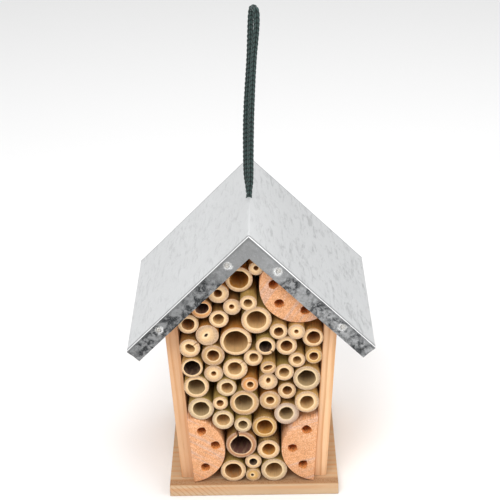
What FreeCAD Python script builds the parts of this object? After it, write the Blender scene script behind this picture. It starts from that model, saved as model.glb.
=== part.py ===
import FreeCAD, Part
import math
import os

import Sketcher
from FreeCAD import Placement, Rotation, Vector

# Insect hotel: a pine house filled with bamboo reeds and drilled half logs, under a folded
# galvanised roof, with a cord loop through the ridge. Millimetres, +Z up, front towards -Y.
# The origin is on the ground, under the middle of the roof.

doc = FreeCAD.newDocument("insect_hotel")

# ---------------------------------------------------------------------------- driving sizes
SIZES = {
    "house_width": 96.8,        # over the walls, at the floor
    "house_depth": 100,         # front edge of the walls to the rear of the back panel
    "wall_thickness": 8.5,
    "wall_lean": 3.4,           # degrees outwards from upright
    "base_thickness": 8,
    "base_side_margin": 7.6,    # base beyond the walls, each side
    "base_front_margin": 10,
    "base_back_margin": 10,
    "back_thickness": 8,
    "ridge_height": 191,        # ground to the fold of the sheet
    "roof_pitch": 45,           # degrees
    "roof_width": 157,          # eave to eave
    "roof_depth": 130,
    "roof_front_overhang": 12,  # sheet beyond the walls' front edges
    "roof_board": 7,
    "sheet_metal": 0.5,
    "flange_drop": 10.5,        # flange height, square to the slope
    "corner_slit": 1.2,         # open corner between two flanges
    "fold_web": 1.0,            # metal left above a corner slit
    "cord_diameter": 4,
    "cord_spread": 9,           # between the loop's two legs, along the ridge
    "cord_place": 2,            # middle of the loop behind the middle of the ridge
    "cord_hole_fit": 0.3,       # hole radius beyond the cord's
    "cord_pivot_rise": 3.4,     # ridge to the point that the loop bends about
    "stub_gap": 0.9,            # loop's end to the tip of the stub that it bends on
    "stub_tip": 0.3,            # tip's radius
    "stub_taper": 1.55,         # tip's height
    "knot_radius": 4.8,
    "knot_length": 20,
    "log_radius": 25,
    "log_thickness": 22.7,      # flat side to the crown of the half log
    "log_drill": 6,
    "log_drill_depth": 60,
    "upper_log_gap": 0.6,       # lower edge of the upper log to the wall's top, along the slope
    "stand_out": 6,             # logs in front of the walls' front edges
    "reed_gap": 0.12,           # between reeds that lie on each other
    "rear_gap": 0.3,            # reeds and logs to the back panel
    "seat_gap": 0.1,            # logs to the boards that they lie on
    "nail_shank": 1.4,
    "nail_head": 3.2,
    "nail_head_height": 0.8,
    "nail_length": 17,
    "nail_fit": 0.03,           # hole radius beyond the shank's
    "nail_sink": 1,             # head below the wood, where a nail is driven in
    "nail_slope_sink": 2.8,     # the same where a nail runs down a wall through a roof board
    "nail_near_ridge_left": 23.5,   # flange nails, from the ridge along the slope
    "nail_near_ridge_right": 29.5,
    "nail_near_eave": 86,
    "septum_depth": 70,         # cut end of a reed to the growth node that closes it
    "pith_depth": 25,           # the same where the bore is only a pith hole
    "short_reed_length": 36,    # the topmost reed, an offcut that leaves the knot its room
}

# The reeds, from the floor up: x from the middle, height above the floor, outer diameter, bore,
# and how far the cut end stands in front of the walls. The places hold for the stated box.
REEDS = [
    (-13.5, 8.5, 17, 11, 6),
    (13.5, 8.5, 17.5, 11, 6),
    (-0.5, 5, 10, 1.5, 6),
    (-0.5, 16.5, 11, 5, 6),
    (10, 27.5, 15, 8.5, 6),
    (-7.5, 29.5, 20.5, 13.5, 7),
    (8, 45, 16.5, 10.5, 3),
    (-5.5, 46.5, 11.5, 6, 8),
    (-19, 48.5, 14.5, 8.5, 6),
    (22, 52, 16.5, 9, 3),
    (-34, 56.5, 17, 10.5, 6),
    (-21, 62.5, 10, 4.5, 7.5),
    (35.5, 61, 16, 9, 7),
    (-6, 61, 19, 11.5, 6),
    (11.5, 64.5, 14, 5, 4),
    (22.5, 70.5, 12, 6, 4),
    (-17, 72.5, 13, 7.5, 6),
    (-35.5, 73.5, 16.5, 11, 6),
    (-1, 76.5, 11, 4, 7.5),
    (11.5, 77, 12.5, 3, 5),
    (35.5, 79, 18, 11.5, 6),
    (21.5, 84.5, 12.5, 6.5, 6.5),
    (10.5, 89, 10, 4.5, 9),
    (-10.5, 86.5, 16, 9, 6),
    (-24.5, 82.5, 12.5, 3, 5),
    (-38, 88.5, 14, 10.5, 8),
    (2, 94, 12, 6, 6),
    (40.5, 94.5, 11, 5.5, 6),
    (29.5, 93.5, 11, 5.5, 6),
    (-24, 96, 15, 7.5, 6),
    (-39.5, 103, 13.5, 6, 7),
    (23, 102.5, 13.5, 7.5, 6),
    (9, 103.5, 13, 8, 8),
    (40, 107.5, 13.5, 8.5, 4),
    (29, 113.5, 11, 2.5, 8),
    (18, 113.5, 11.5, 6, 8),
    (-9, 106, 20.5, 15.5, 6),
    (-27, 111, 15, 1.5, 6),
    (-39.5, 119.5, 13.5, 8, 6),
    (-20.5, 122.5, 12.5, 7, 6),
    (4, 121, 19.5, 12.5, 6),
    (-1, 135.5, 11, 5.5, 10.5),
    (-12.5, 131, 11.5, 3, 6),
    (-30.5, 130, 13.5, 7.5, 6),
    (-19.5, 140.5, 13.5, 5, 6),
    (-6.5, 150, 17.5, 12, 4),
    (4.5, 157.5, 9.5, 3, 6),
]
REED_BOX = (79.8, 172.4)        # floor width and apex height of the box that the places hold for
PITH_HOLE = 3.5                 # the widest bore that is only a pith hole
SETTLING_TURNS = 600
HOME_PULL = 0.05                # share of the way back to its place that a reed moves each turn

# Hole centres in a half log: distance from its flat side, and place along it.
LOWER_LEFT_HOLES = [(8.5, 14.5), (16.5, 3), (8.5, -13.5)]
LOWER_RIGHT_HOLES = [(7, 14.5), (15.5, 0), (8, -12.5)]
UPPER_HOLES = [(6.5, -14), (14.5, 1), (7.5, 13)]
LOG_JIG = 25                    # log radius that the hole places hold for

# Front leg of the cord from the ridge to the fold: sideways, along the ridge from the leg's own
# foot, and height above the point it bends about. The rear leg comes down beside it.
FRONT_LEG = [(0, 0, 0), (0.9, 0.7, 18), (2.1, 1.3, 50), (4.6, 1, 88), (5.9, 0.5, 108), (6.3, 0, 118.2)]
FOLD_TOP = (5.7, 4.5, 120.8)
REAR_LEG = [(4.9, 9, 118.2), (3.8, 8.4, 108), (2.4, 7.8, 88), (-0.5, 7.4, 50), (-1.5, 8.2, 18), (0, 9, 0)]


def write_sheet():
    """The spreadsheet of driving sizes, one aliased cell each."""
    sheet = doc.addObject("Spreadsheet::Sheet", "sizes")
    for row, (name, value) in enumerate(SIZES.items(), 1):
        sheet.set(f"A{row}", name)
        sheet.set(f"B{row}", str(value))
        sheet.setAlias(f"B{row}", name)
    doc.recompute()
    return sheet


sizes = write_sheet()


def size(name):
    return float(sizes.get(name))


def cell(name):
    return f"sizes.{name}"


# ------------------------------------------------------------------ expressions used throughout
COS = f"cos({cell('roof_pitch')})"
SIN = f"sin({cell('roof_pitch')})"
TAN = f"tan({cell('roof_pitch')})"
LEAN_TAN = f"tan({cell('wall_lean')})"
LEAN_COS = f"cos({cell('wall_lean')})"
FLOOR = cell("base_thickness")
HALF_OUT = f"({cell('house_width')} / 2)"
HALF_IN = f"({HALF_OUT} - {cell('wall_thickness')} / {LEAN_COS})"
HALF_ROOF = f"({cell('roof_width')} / 2)"
SLOPE_LENGTH = f"({HALF_ROOF} / {COS})"
UNDER_APEX = f"({cell('ridge_height')} - ({cell('sheet_metal')} + {cell('roof_board')}) / {COS})"
ROOF_FRONT = f"(-{cell('roof_depth')} / 2)"
HOUSE_FRONT = f"({ROOF_FRONT} + {cell('roof_front_overhang')})"
HOUSE_BACK = f"({HOUSE_FRONT} + {cell('house_depth')})"
PANEL_FRONT = f"({HOUSE_BACK} - {cell('back_thickness')})"


def value(expression):
    """The number that an expression on the sheet comes to."""
    found = sizes.evalExpression(expression)
    return float(getattr(found, "Value", found))


def slope_point(along, inwards):
    """A point in the right slope's section: along it from the ridge, and in from its outer face."""
    x = f"({along}) * {COS} - ({inwards}) * {SIN}"
    z = f"{cell('ridge_height')} - ({along}) * {SIN} - ({inwards}) * {COS}"
    return x, z


def wall_top(half_width):
    """Where a wall face that starts at half_width on the floor meets the roof boards."""
    fall = f"{TAN} * ({half_width}) - {TAN} * {LEAN_TAN} * {FLOOR}"
    height = f"({UNDER_APEX} - ({fall})) / (1 + {TAN} * {LEAN_TAN})"
    x = f"(({half_width}) + ({height} - {FLOOR}) * {LEAN_TAN})"
    return x, height


def flipped(points):
    return [(f"-({x})", z) for x, z in points]


# --------------------------------------------------------------------------------- small makers
def profile(name, points, start, length):
    """A body: a closed outline in the XZ plane, padded along Y from start by length."""
    body = doc.addObject("PartDesign::Body", name)
    plane = next(f for f in body.Origin.OriginFeatures if f.Role == "XZ_Plane")
    sketch = body.newObject("Sketcher::SketchObject", f"{name}_outline")
    sketch.AttachmentSupport = [(plane, "")]
    sketch.MapMode = "FlatFace"
    places = [(value(x), value(z)) for x, z in points]
    count = len(places)
    for k in range(count):
        ends = [Vector(places[i % count][0], places[i % count][1], 0) for i in (k, k + 1)]
        sketch.addGeometry(Part.LineSegment(*ends), False)
    for k in range(count):
        sketch.addConstraint(Sketcher.Constraint("Coincident", k, 2, (k + 1) % count, 1))
    for k, (point, place) in enumerate(zip(points, places)):
        for kind, along, expression, axis in (
            ("DistanceX", place[0], point[0], -2),
            ("DistanceY", place[1], point[1], -1),
        ):
            if abs(along) < 1e-9:
                sketch.addConstraint(Sketcher.Constraint("PointOnObject", k, 1, axis))
                continue
            held = sketch.addConstraint(Sketcher.Constraint(kind, -1, 1, k, 1, along))
            sketch.setExpression(f"Constraints[{held}]", expression)
    sketch.setExpression(".AttachmentOffset.Base.z", f"-({start})")
    pad = body.newObject("PartDesign::Pad", f"{name}_pad")
    pad.Profile = sketch
    pad.Reversed = True
    pad.setExpression("Length", length)
    body.Tip = pad
    doc.recompute()
    return body


def box(name, lengths, base, angle="0"):
    """A box primitive, with expressions for its sizes, its corner and its turn about Y."""
    made = doc.addObject("Part::Box", name)
    for key, expression in zip(("Length", "Width", "Height"), lengths):
        made.setExpression(key, expression)
    set_place(made, base, angle)
    return made


def rod(name, radius, length, base, angle_x=-90):
    """A cylinder primitive that runs along +Y from its base, or along +Z with no turn."""
    made = doc.addObject("Part::Cylinder", name)
    made.setExpression("Radius", radius)
    made.setExpression("Height", length)
    made.Placement = Placement(Vector(), Rotation(Vector(1, 0, 0), angle_x))
    for key, expression in zip("xyz", base):
        made.setExpression(f"Placement.Base.{key}", expression)
    return made


def set_place(made, base, angle):
    made.Placement = Placement(Vector(), Rotation(Vector(0, 1, 0), 1))
    made.setExpression("Placement.Rotation.Angle", angle)
    for key, expression in zip("xyz", base):
        made.setExpression(f"Placement.Base.{key}", expression)


def joined(name, shapes):
    made = doc.addObject("Part::MultiFuse", name)
    made.Shapes = shapes
    return made


def cut(name, base, tools):
    """The base less its tools, as a feature of its own."""
    made = doc.addObject("Part::Cut", name)
    made.Base = base
    made.Tool = tools[0] if len(tools) == 1 else joined(f"{name}_tools", tools)
    return made


def mirrored(name, source):
    made = doc.addObject("Part::Mirroring", name)
    made.Source = source
    made.Normal = Vector(1, 0, 0)
    return made


nodes = {}


def keep(node, made):
    """Names a finished sub-part after its node."""
    made.Label = node
    nodes[node] = made
    return made


# -------------------------------------------------------------------------------------- nails
def slope_frame(side):
    """Unit vectors down a slope and out of it, on the right (1) or left (-1)."""
    pitch = math.radians(size("roof_pitch"))
    down = Vector(side * math.cos(pitch), 0, -math.sin(pitch))
    out = Vector(side * math.sin(pitch), 0, math.cos(pitch))
    return down, out


def nail_seats():
    """Where each nail's head bears, and the way its shank points, by the joint that it holds."""
    ridge = Vector(0, 0, size("ridge_height"))
    half_depth = size("roof_depth") / 2
    metal, board = size("sheet_metal"), size("roof_board")
    house_front, panel_front, house_back = value(HOUSE_FRONT), value(PANEL_FRONT), value(HOUSE_BACK)
    floor, lean = size("base_thickness"), math.radians(size("wall_lean"))
    sink = size("nail_sink")
    wall_middle = value(f"({HALF_OUT} + {HALF_IN}) / 2")
    seats = {"sheet": [], "base": [], "back": [], "roof": []}
    for side in (-1, 1):
        down, out = slope_frame(side)
        middle = metal + board / 2
        near_ridge = size("nail_near_ridge_left" if side < 0 else "nail_near_ridge_right")
        for along in (near_ridge, size("nail_near_eave")):
            place = ridge + down * along - out * middle
            seats["sheet"].append((place + Vector(0, -half_depth, 0), Vector(0, 1, 0)))
            seats["sheet"].append((place + Vector(0, half_depth, 0), Vector(0, -1, 0)))
        wall_way = Vector(side * math.sin(lean), 0, math.cos(lean))
        for share in (0.2, 0.8):
            y = house_front + share * (panel_front - house_front)
            foot = Vector(side * wall_middle, y, floor) - wall_way * (floor / math.cos(lean))
            seats["base"].append((foot + wall_way * sink, wall_way))
            top_x, top_z = wall_top(f"({HALF_OUT} + {HALF_IN}) / 2")
            top = Vector(side * value(top_x), y, value(top_z))
            through = board / out.dot(wall_way)
            seats["roof"].append((top + wall_way * (through - size("nail_slope_sink")), wall_way * -1))
        for share in (0.12, 0.5, 0.88):
            z = floor + share * (value(wall_top(HALF_IN)[1]) - floor)
            x = side * (wall_middle + (z - floor) * math.tan(lean))
            seats["back"].append((Vector(x, house_back, z), Vector(0, -1, 0)))
    return seats


def along_axis(shape, place, way):
    """A shape made along +Z from the origin, moved to a place and turned to point a way."""
    shape.Placement = Placement(place, Rotation(Vector(0, 0, 1), way))
    return shape


def nail(place, way):
    """A wire nail: a low round head over the surface, its shank and its point below."""
    shank, head = size("nail_shank") / 2, size("nail_head") / 2
    rise, length = size("nail_head_height"), size("nail_length")
    tip = 2 * size("nail_shank")
    section = Part.Wire(
        [
            Part.LineSegment(Vector(0, 0, -rise), Vector(head * 0.55, 0, -rise)).toShape(),
            Part.Arc(
                Vector(head * 0.55, 0, -rise), Vector(head * 0.88, 0, -rise * 0.7), Vector(head, 0, 0)
            ).toShape(),
            Part.LineSegment(Vector(head, 0, 0), Vector(shank, 0, 0)).toShape(),
            Part.LineSegment(Vector(shank, 0, 0), Vector(shank, 0, length - tip)).toShape(),
            Part.LineSegment(Vector(shank, 0, length - tip), Vector(0, 0, length)).toShape(),
            Part.LineSegment(Vector(0, 0, length), Vector(0, 0, -rise)).toShape(),
        ]
    )
    body = Part.Face(section).revolve(Vector(), Vector(0, 0, 1), 360)
    return along_axis(body, place, way)


def nail_hole(place, way, sunk):
    """The hole that a nail's shank needs, with a pocket for its head where it is driven in by sunk."""
    radius = size("nail_shank") / 2 + size("nail_fit")
    reach = size("nail_length") + size("nail_fit")
    above = 2 * max(sunk, size("nail_sink"))
    hole = Part.makeCylinder(radius, reach + above, Vector(0, 0, -above))
    if sunk:
        pocket = size("nail_head") / 2 + size("nail_fit")
        hole = hole.fuse(Part.makeCylinder(pocket, above, Vector(0, 0, -above)))
    return along_axis(hole, place, way)


def nail_holes(name, *joints):
    """One tool that drills every hole of the named joints."""
    sunk = {"base": size("nail_sink"), "roof": size("nail_slope_sink")}
    holes = [nail_hole(*seat, sunk.get(joint, 0)) for joint in joints for seat in seats[joint]]
    made = doc.addObject("Part::Feature", f"{name}_holes")
    made.Shape = Part.makeCompound(holes)
    return made


seats = nail_seats()
nails = doc.addObject("Part::Feature", "nails")
nails.Shape = Part.makeCompound([nail(*seat) for joint in seats.values() for seat in joint])
nails.Placement = Placement()
keep("nails", nails)

# -------------------------------------------------------------------------------------- house
base = box(
    "base_blank",
    (
        f"{cell('house_width')} + 2 * {cell('base_side_margin')}",
        f"{cell('house_depth')} + {cell('base_front_margin')} + {cell('base_back_margin')}",
        FLOOR,
    ),
    (
        f"-{cell('house_width')} / 2 - {cell('base_side_margin')}",
        f"{HOUSE_FRONT} - {cell('base_front_margin')}",
        "0",
    ),
)
keep("base_board", cut("base_board", base, [nail_holes("base_board", "base")]))

outer_top, inner_top = wall_top(HALF_OUT), wall_top(HALF_IN)
right_wall = [(HALF_OUT, FLOOR), outer_top, inner_top, (HALF_IN, FLOOR)]
wall_depth = f"{PANEL_FRONT} - {HOUSE_FRONT}"
for node, outline in (("right_wall", right_wall), ("left_wall", flipped(right_wall))):
    blank = profile(f"{node}_blank", outline, HOUSE_FRONT, wall_depth)
    keep(node, cut(node, blank, [nail_holes(node, "base", "back", "roof")]))

gable = [(HALF_OUT, FLOOR), outer_top, ("0", UNDER_APEX), flipped([outer_top])[0], (f"-{HALF_OUT}", FLOOR)]
back_blank = profile("back_blank", gable, PANEL_FRONT, cell("back_thickness"))
keep("back_panel", cut("back_panel", back_blank, [nail_holes("back_panel", "back")]))

# --------------------------------------------------------------------------------------- roof
metal, board = cell("sheet_metal"), cell("roof_board")
board_end = f"({SLOPE_LENGTH} - {metal})"
right_board = [
    ("0", UNDER_APEX),
    slope_point(board_end, f"{metal} + {board}"),
    slope_point(board_end, metal),
    ("0", f"{cell('ridge_height')} - {metal} / {COS}"),
]
LEG_FEET = [f"({cell('cord_place')} {sign} {cell('cord_spread')} / 2)" for sign in "-+"]
cord_hole_radius = f"{cell('cord_diameter')} / 2 + {cell('cord_hole_fit')}"


def cord_holes(name):
    """Two upright holes through the ridge, one for each leg of the cord."""
    return [
        rod(f"{name}_cord_hole_{k}", cord_hole_radius, f"2 * {cell('ridge_height')}", ("0", y, "0"), 0)
        for k, y in enumerate(LEG_FEET)
    ]


board_start = f"({ROOF_FRONT} + {metal})"
board_length = f"{cell('roof_depth')} - 2 * {metal}"
for node, outline in (("right_roof_board", right_board), ("left_roof_board", flipped(right_board))):
    blank = profile(f"{node}_blank", outline, board_start, board_length)
    tools = [nail_holes(node, "sheet", "roof"), *cord_holes(node)]
    keep(node, cut(node, blank, tools))


def folded(name, along, outer, drop, start, length):
    """A roof-shaped bar: from outer to drop below the slopes, as far as along from the ridge."""
    right = [
        ("0", f"{cell('ridge_height')} - ({outer}) / {COS}"),
        slope_point(along, outer),
        slope_point(along, drop),
        ("0", f"{cell('ridge_height')} - ({drop}) / {COS}"),
    ]
    return profile(name, right[:3] + [right[3]] + flipped(right[2:0:-1]), start, length)


def corner_slits():
    """The open corners of the folded sheet, where two flanges end beside each other."""
    slit, web = cell("corner_slit"), cell("fold_web")
    made = []
    for k, start in enumerate((f"{ROOF_FRONT} - {metal}", f"-{ROOF_FRONT} - 2 * {metal}")):
        x, z = slope_point(f"{board_end} - {slit}", f"{cell('flange_drop')} + {web}")
        right = box(
            f"slit_{k}",
            (slit, f"3 * {metal}", cell("flange_drop")),
            (x, start, z),
            cell("roof_pitch"),
        )
        made += [right, mirrored(f"slit_{k}_left", right)]
    return made


sheet_outside = folded("sheet_outside", SLOPE_LENGTH, "0", cell("flange_drop"), ROOF_FRONT, cell("roof_depth"))
sheet_inside = folded(
    "sheet_inside", board_end, metal, f"{cell('flange_drop')} + {cell('fold_web')}", board_start, board_length
)
keep(
    "roof_sheet",
    cut(
        "roof_sheet",
        sheet_outside,
        [sheet_inside, nail_holes("roof_sheet", "sheet"), *cord_holes("roof_sheet"), *corner_slits()],
    ),
)

# --------------------------------------------------------------------------------------- logs
chord = f"(2 * sqrt({cell('log_radius')} ^ 2 - ({cell('log_radius')} - {cell('log_thickness')}) ^ 2))"
reed_back = f"({PANEL_FRONT} - {cell('rear_gap')})"
log_length = f"({reed_back} - {HOUSE_FRONT} + {cell('stand_out')})"


def half_log(node, holes, base, angle):
    """A half log whose flat side is the plane X = 0 and whose crown points along +X, then placed."""
    axis_x = f"{cell('log_thickness')} - {cell('log_radius')}"
    front = f"{HOUSE_FRONT} - {cell('stand_out')}"
    trunk = rod(f"{node}_trunk", cell("log_radius"), log_length, (axis_x, "0", "0"))
    saw = box(
        f"{node}_sawn_off",
        (f"2 * {cell('log_radius')}", log_length, f"2 * {cell('log_radius')}"),
        (f"-2 * {cell('log_radius')}", "0", f"-{cell('log_radius')}"),
    )
    drills = [
        rod(
            f"{node}_drill_{k}",
            f"{cell('log_drill')} / 2",
            f"{cell('log_drill_depth')} + 1",
            (f"{x} * {cell('log_radius')} / {LOG_JIG}", "-1", f"{z} * {cell('log_radius')} / {LOG_JIG}"),
        )
        for k, (x, z) in enumerate(holes)
    ]
    made = cut(node, trunk, [saw, *drills])
    set_place(made, (base[0], front, base[1]), angle)
    return keep(node, made)


seat = cell("seat_gap")
foot = f"({chord} / 2 + {seat} / {LEAN_COS} + {seat})"
wall_x = f"({HALF_IN} - {seat} / {LEAN_COS} + {foot} * sin({cell('wall_lean')}))"
wall_z = f"({FLOOR} + {foot} * {LEAN_COS})"
half_log("lower_left_log", LOWER_LEFT_HOLES, (f"-{wall_x}", wall_z), f"-{cell('wall_lean')}")
turned_holes = [(x, -z) for x, z in LOWER_RIGHT_HOLES]
half_log("lower_right_log", turned_holes, (wall_x, wall_z), f"180 + {cell('wall_lean')}")
upper_middle = f"({inner_top[0]} / {COS} - {chord} / 2 - {cell('upper_log_gap')})"
under_x, under_z = slope_point(f"{upper_middle} + ({metal} + {board}) * {TAN}", f"{metal} + {board} + {seat}")
half_log("upper_log", UPPER_HOLES, (under_x, under_z), f"90 + {cell('roof_pitch')}")


# -------------------------------------------------------------------------------------- reeds
def obstacles():
    """Lines that the reeds stay inside, as (normal x, normal z, distance), and the round logs."""
    lean = math.radians(size("wall_lean"))
    pitch = math.radians(size("roof_pitch"))
    half = value(HALF_IN)
    apex = value(UNDER_APEX) - size("base_thickness")
    lines = [(0, 1, 0)]
    for side in (1, -1):
        lines.append((side * math.cos(lean), math.sin(lean), -half * math.cos(lean)))
        lines.append((side * math.sin(pitch), -math.cos(pitch), -apex * math.cos(pitch)))
    rounds = []
    sunk = size("log_thickness") - size("log_radius")
    for node in ("lower_left_log", "lower_right_log", "upper_log"):
        centre = nodes[node].Placement.multVec(Vector(sunk, 0, 0))
        rounds.append((centre.x, centre.z - size("base_thickness")))
    return lines, rounds


def settled(homes, radii):
    """The homes moved as little as lets every reed clear the box, the logs and the other reeds,
    and then let down, the lowest first, until each one lies on something."""
    lines, rounds = obstacles()
    gap = size("reed_gap")
    log = size("log_radius")
    places = [list(home) for home in homes]
    pairs = [(i, j) for i in range(len(places)) for j in range(i)]

    def push(place, reach, clearance, other):
        dx, dz = place[0] - other[0], place[1] - other[1]
        apart = math.hypot(dx, dz)
        over = reach + clearance - apart
        return (dx / apart * over, dz / apart * over) if over > 0 else (0, 0)

    for turn in range(SETTLING_TURNS):
        pull = HOME_PULL * (1 - turn / SETTLING_TURNS)
        for place, home in zip(places, homes):
            place[0] += (home[0] - place[0]) * pull
            place[1] += (home[1] - place[1]) * pull
        for i, j in pairs:
            x, z = push(places[i], radii[i] + radii[j], gap, places[j])
            places[i][0] += x / 2
            places[i][1] += z / 2
            places[j][0] -= x / 2
            places[j][1] -= z / 2
        for place, radius in zip(places, radii):
            for centre in rounds:
                x, z = push(place, radius + log, gap, centre)
                place[0] += x
                place[1] += z
            for nx, nz, distance in lines:
                over = radius + gap - (nx * place[0] + nz * place[1] - distance)
                if over > 0:
                    place[0] += nx * over
                    place[1] += nz * over

    for i in sorted(range(len(places)), key=lambda k: places[k][1]):
        x, z = places[i]
        fall = z - radii[i] - gap
        below = [(other, radii[i] + radii[k] + gap) for k, other in enumerate(places) if k != i]
        below += [(centre, radii[i] + log + gap) for centre in rounds]
        for (other_x, other_z), reach in below:
            if other_z < z and abs(other_x - x) < reach:
                fall = min(fall, z - other_z - math.sqrt(reach**2 - (other_x - x) ** 2))
        for nx, nz, distance in lines:
            if nz > 0:
                fall = min(fall, (nx * x + nz * z - distance - radii[i] - gap) / nz)
        places[i][1] -= max(fall, 0)
    return places


wide = 2 * value(HALF_IN) / REED_BOX[0]
high = (value(UNDER_APEX) - size("base_thickness")) / REED_BOX[1]

reed_sheet = doc.addObject("Spreadsheet::Sheet", "reeds")
reed_sheet.set("A1", str(min(wide, high)))
reed_sheet.setAlias("A1", "box_fit")
for row, reed in enumerate(REEDS, 1):
    for column, word, number in zip("BCD", ("outer", "bore", "stand_out"), reed[2:]):
        reed_sheet.set(f"{column}{row}", str(number))
        reed_sheet.setAlias(f"{column}{row}", f"reed_{row:02d}_{word}")
doc.recompute()
fit = float(reed_sheet.get("box_fit"))

places = settled([(x * wide, z * high) for x, z, *_ in REEDS], [reed[2] * fit / 2 for reed in REEDS])
for number, (reed, (x, z)) in enumerate(zip(REEDS, places), 1):
    node = f"reed_{number:02d}"
    front = f"({HOUSE_FRONT} - reeds.{node}_stand_out)"
    length = f"({reed_back} - {front})" if number < len(REEDS) else cell("short_reed_length")
    depth = cell("septum_depth") if reed[3] > PITH_HOLE else cell("pith_depth")
    culm = rod(f"{node}_culm", f"reeds.{node}_outer * reeds.box_fit / 2", length, ("0", "0", "0"))
    bore = rod(f"{node}_hole", f"reeds.{node}_bore * reeds.box_fit / 2", f"{depth} + 1", ("0", "-1", "0"))
    made = cut(node, culm, [bore])
    made.Placement = Placement(Vector(x, 0, z + size("base_thickness")), Rotation())
    made.setExpression("Placement.Base.y", front)
    keep(node, made)


# --------------------------------------------------------------------------------------- cord
def route_wire(points):
    """Straight runs joined by tangent arcs, each as large as its two runs allow. Prints the radii."""
    edges = []
    start = points[0]
    radii = []
    for before, corner, after in zip(points, points[1:], points[2:]):
        into, away = corner - before, after - corner
        run = min(into.Length, away.Length)
        half_turn = into.getAngle(away) / 2
        reach = 0.45 * run
        radius = reach / math.tan(half_turn)
        radii.append(round(radius, 1))
        into.normalize()
        away.normalize()
        begin, end = corner - into * reach, corner + away * reach
        middle = corner + (away - into).normalize() * (radius / math.cos(half_turn) - radius)
        edges.append(Part.LineSegment(start, begin).toShape())
        edges.append(Part.Arc(begin, middle, end).toShape())
        start = end
    edges.append(Part.LineSegment(start, points[-1]).toShape())
    print("cord bend radii:", radii)
    return Part.Wire(edges)


def cord_tube(wire, radius):
    """A round tube along a wire, with a ball at each end, compared with its section times its length."""
    first, last = wire.OrderedVertexes[0].Point, wire.OrderedVertexes[-1].Point
    way = wire.OrderedEdges[0].tangentAt(wire.OrderedEdges[0].FirstParameter)
    ring = Part.Wire(Part.makeCircle(radius, first, way))
    tube = wire.makePipeShell([ring], True, False)
    expected = math.pi * radius**2 * wire.Length
    if abs(tube.Volume - expected) > 0.01 * expected:
        raise RuntimeError(f"cord volume {tube.Volume:.1f}, expected {expected:.1f}")
    print("cord length:", round(wire.Length, 1))
    return tube.fuse([Part.makeSphere(radius, first), Part.makeSphere(radius, last)])


cord_radius = size("cord_diameter") / 2
pivot = size("ridge_height") + size("cord_pivot_rise")
front_foot = size("cord_place") - size("cord_spread") / 2
route = [Vector(x, front_foot + along, pivot + rise) for x, along, rise in (*FRONT_LEG, FOLD_TOP, *REAR_LEG)]
loop = doc.addObject("Part::Feature", "cord_loop")
loop.Shape = cord_tube(route_wire(route), cord_radius)
loop.Placement = Placement()
keep("cord_loop", loop)

knot_height = f"({UNDER_APEX} - ({cell('knot_radius')} + {cell('seat_gap')}) / {COS})"
knot_ball = doc.addObject("Part::Ellipsoid", "knot_ball")
knot_ball.setExpression("Radius1", cell("knot_radius"))
knot_ball.setExpression("Radius2", cell("knot_radius"))
knot_ball.setExpression("Radius3", f"{cell('knot_length')} / 2")
knot_ball.Angle1 = -90
knot_ball.setExpression("Placement.Base.y", cell("cord_place"))
knot_ball.setExpression("Placement.Base.z", knot_height)
cord_half = f"({cell('cord_diameter')} / 2)"
pivot_height = f"({cell('ridge_height')} + {cell('cord_pivot_rise')})"
stub_top = f"({pivot_height} - {cord_half} - {cell('stub_gap')} - {cell('stub_taper')})"


def stub(name, y):
    """One end of the cord in its hole, from the knot to a tapered tip that the loop swings clear of."""
    straight = rod(name, cord_half, f"{stub_top} - {knot_height}", ("0", y, knot_height), 0)
    tip = doc.addObject("Part::Cone", f"{name}_tip")
    tip.setExpression("Radius1", cord_half)
    tip.setExpression("Radius2", cell("stub_tip"))
    tip.setExpression("Height", cell("stub_taper"))
    tip.setExpression("Placement.Base.y", y)
    tip.setExpression("Placement.Base.z", stub_top)
    return [straight, tip]


stubs = [shape for k, y in enumerate(LEG_FEET) for shape in stub(f"stub_{k}", y)]
keep("cord_knot", joined("cord_knot", [knot_ball, *stubs]))

# ------------------------------------------------------------------------------ check and write
doc.recompute()
for made in doc.Objects:
    if "Invalid" in made.State or "Error" in made.State:
        raise RuntimeError(f"{made.Name} failed: {made.State}")
os.makedirs("parts", exist_ok=True)
for node, made in nodes.items():
    shape = made.Shape
    if shape.isNull() or not shape.isValid() or not shape.Solids:
        raise RuntimeError(f"{node} has no valid solid")
    shape.exportStep(f"parts/{node}.step")
print(len(nodes), "nodes written")
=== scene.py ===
import math

import bmesh
import bpy
from mathutils import Matrix, Vector, noise


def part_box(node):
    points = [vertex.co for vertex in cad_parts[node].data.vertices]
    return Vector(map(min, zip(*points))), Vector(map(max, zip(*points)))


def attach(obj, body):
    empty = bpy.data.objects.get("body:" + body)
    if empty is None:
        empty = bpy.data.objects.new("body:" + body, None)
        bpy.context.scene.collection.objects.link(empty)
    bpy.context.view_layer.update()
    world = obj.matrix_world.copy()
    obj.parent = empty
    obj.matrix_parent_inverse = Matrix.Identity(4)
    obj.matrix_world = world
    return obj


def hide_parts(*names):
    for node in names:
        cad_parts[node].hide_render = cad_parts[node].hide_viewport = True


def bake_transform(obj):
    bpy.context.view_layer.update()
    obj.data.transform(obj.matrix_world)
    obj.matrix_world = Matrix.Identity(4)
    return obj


bl_info = {
    "name": "Insect Hotel",
    "version": (1, 0, 0),
    "blender": (4, 5, 0),
    "location": "3D View > Sidebar > Insect Hotel",
    "description": "Pine house with bamboo reeds, drilled half logs, a galvanised roof and a knitted cord",
    "category": "Object",
}

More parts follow.
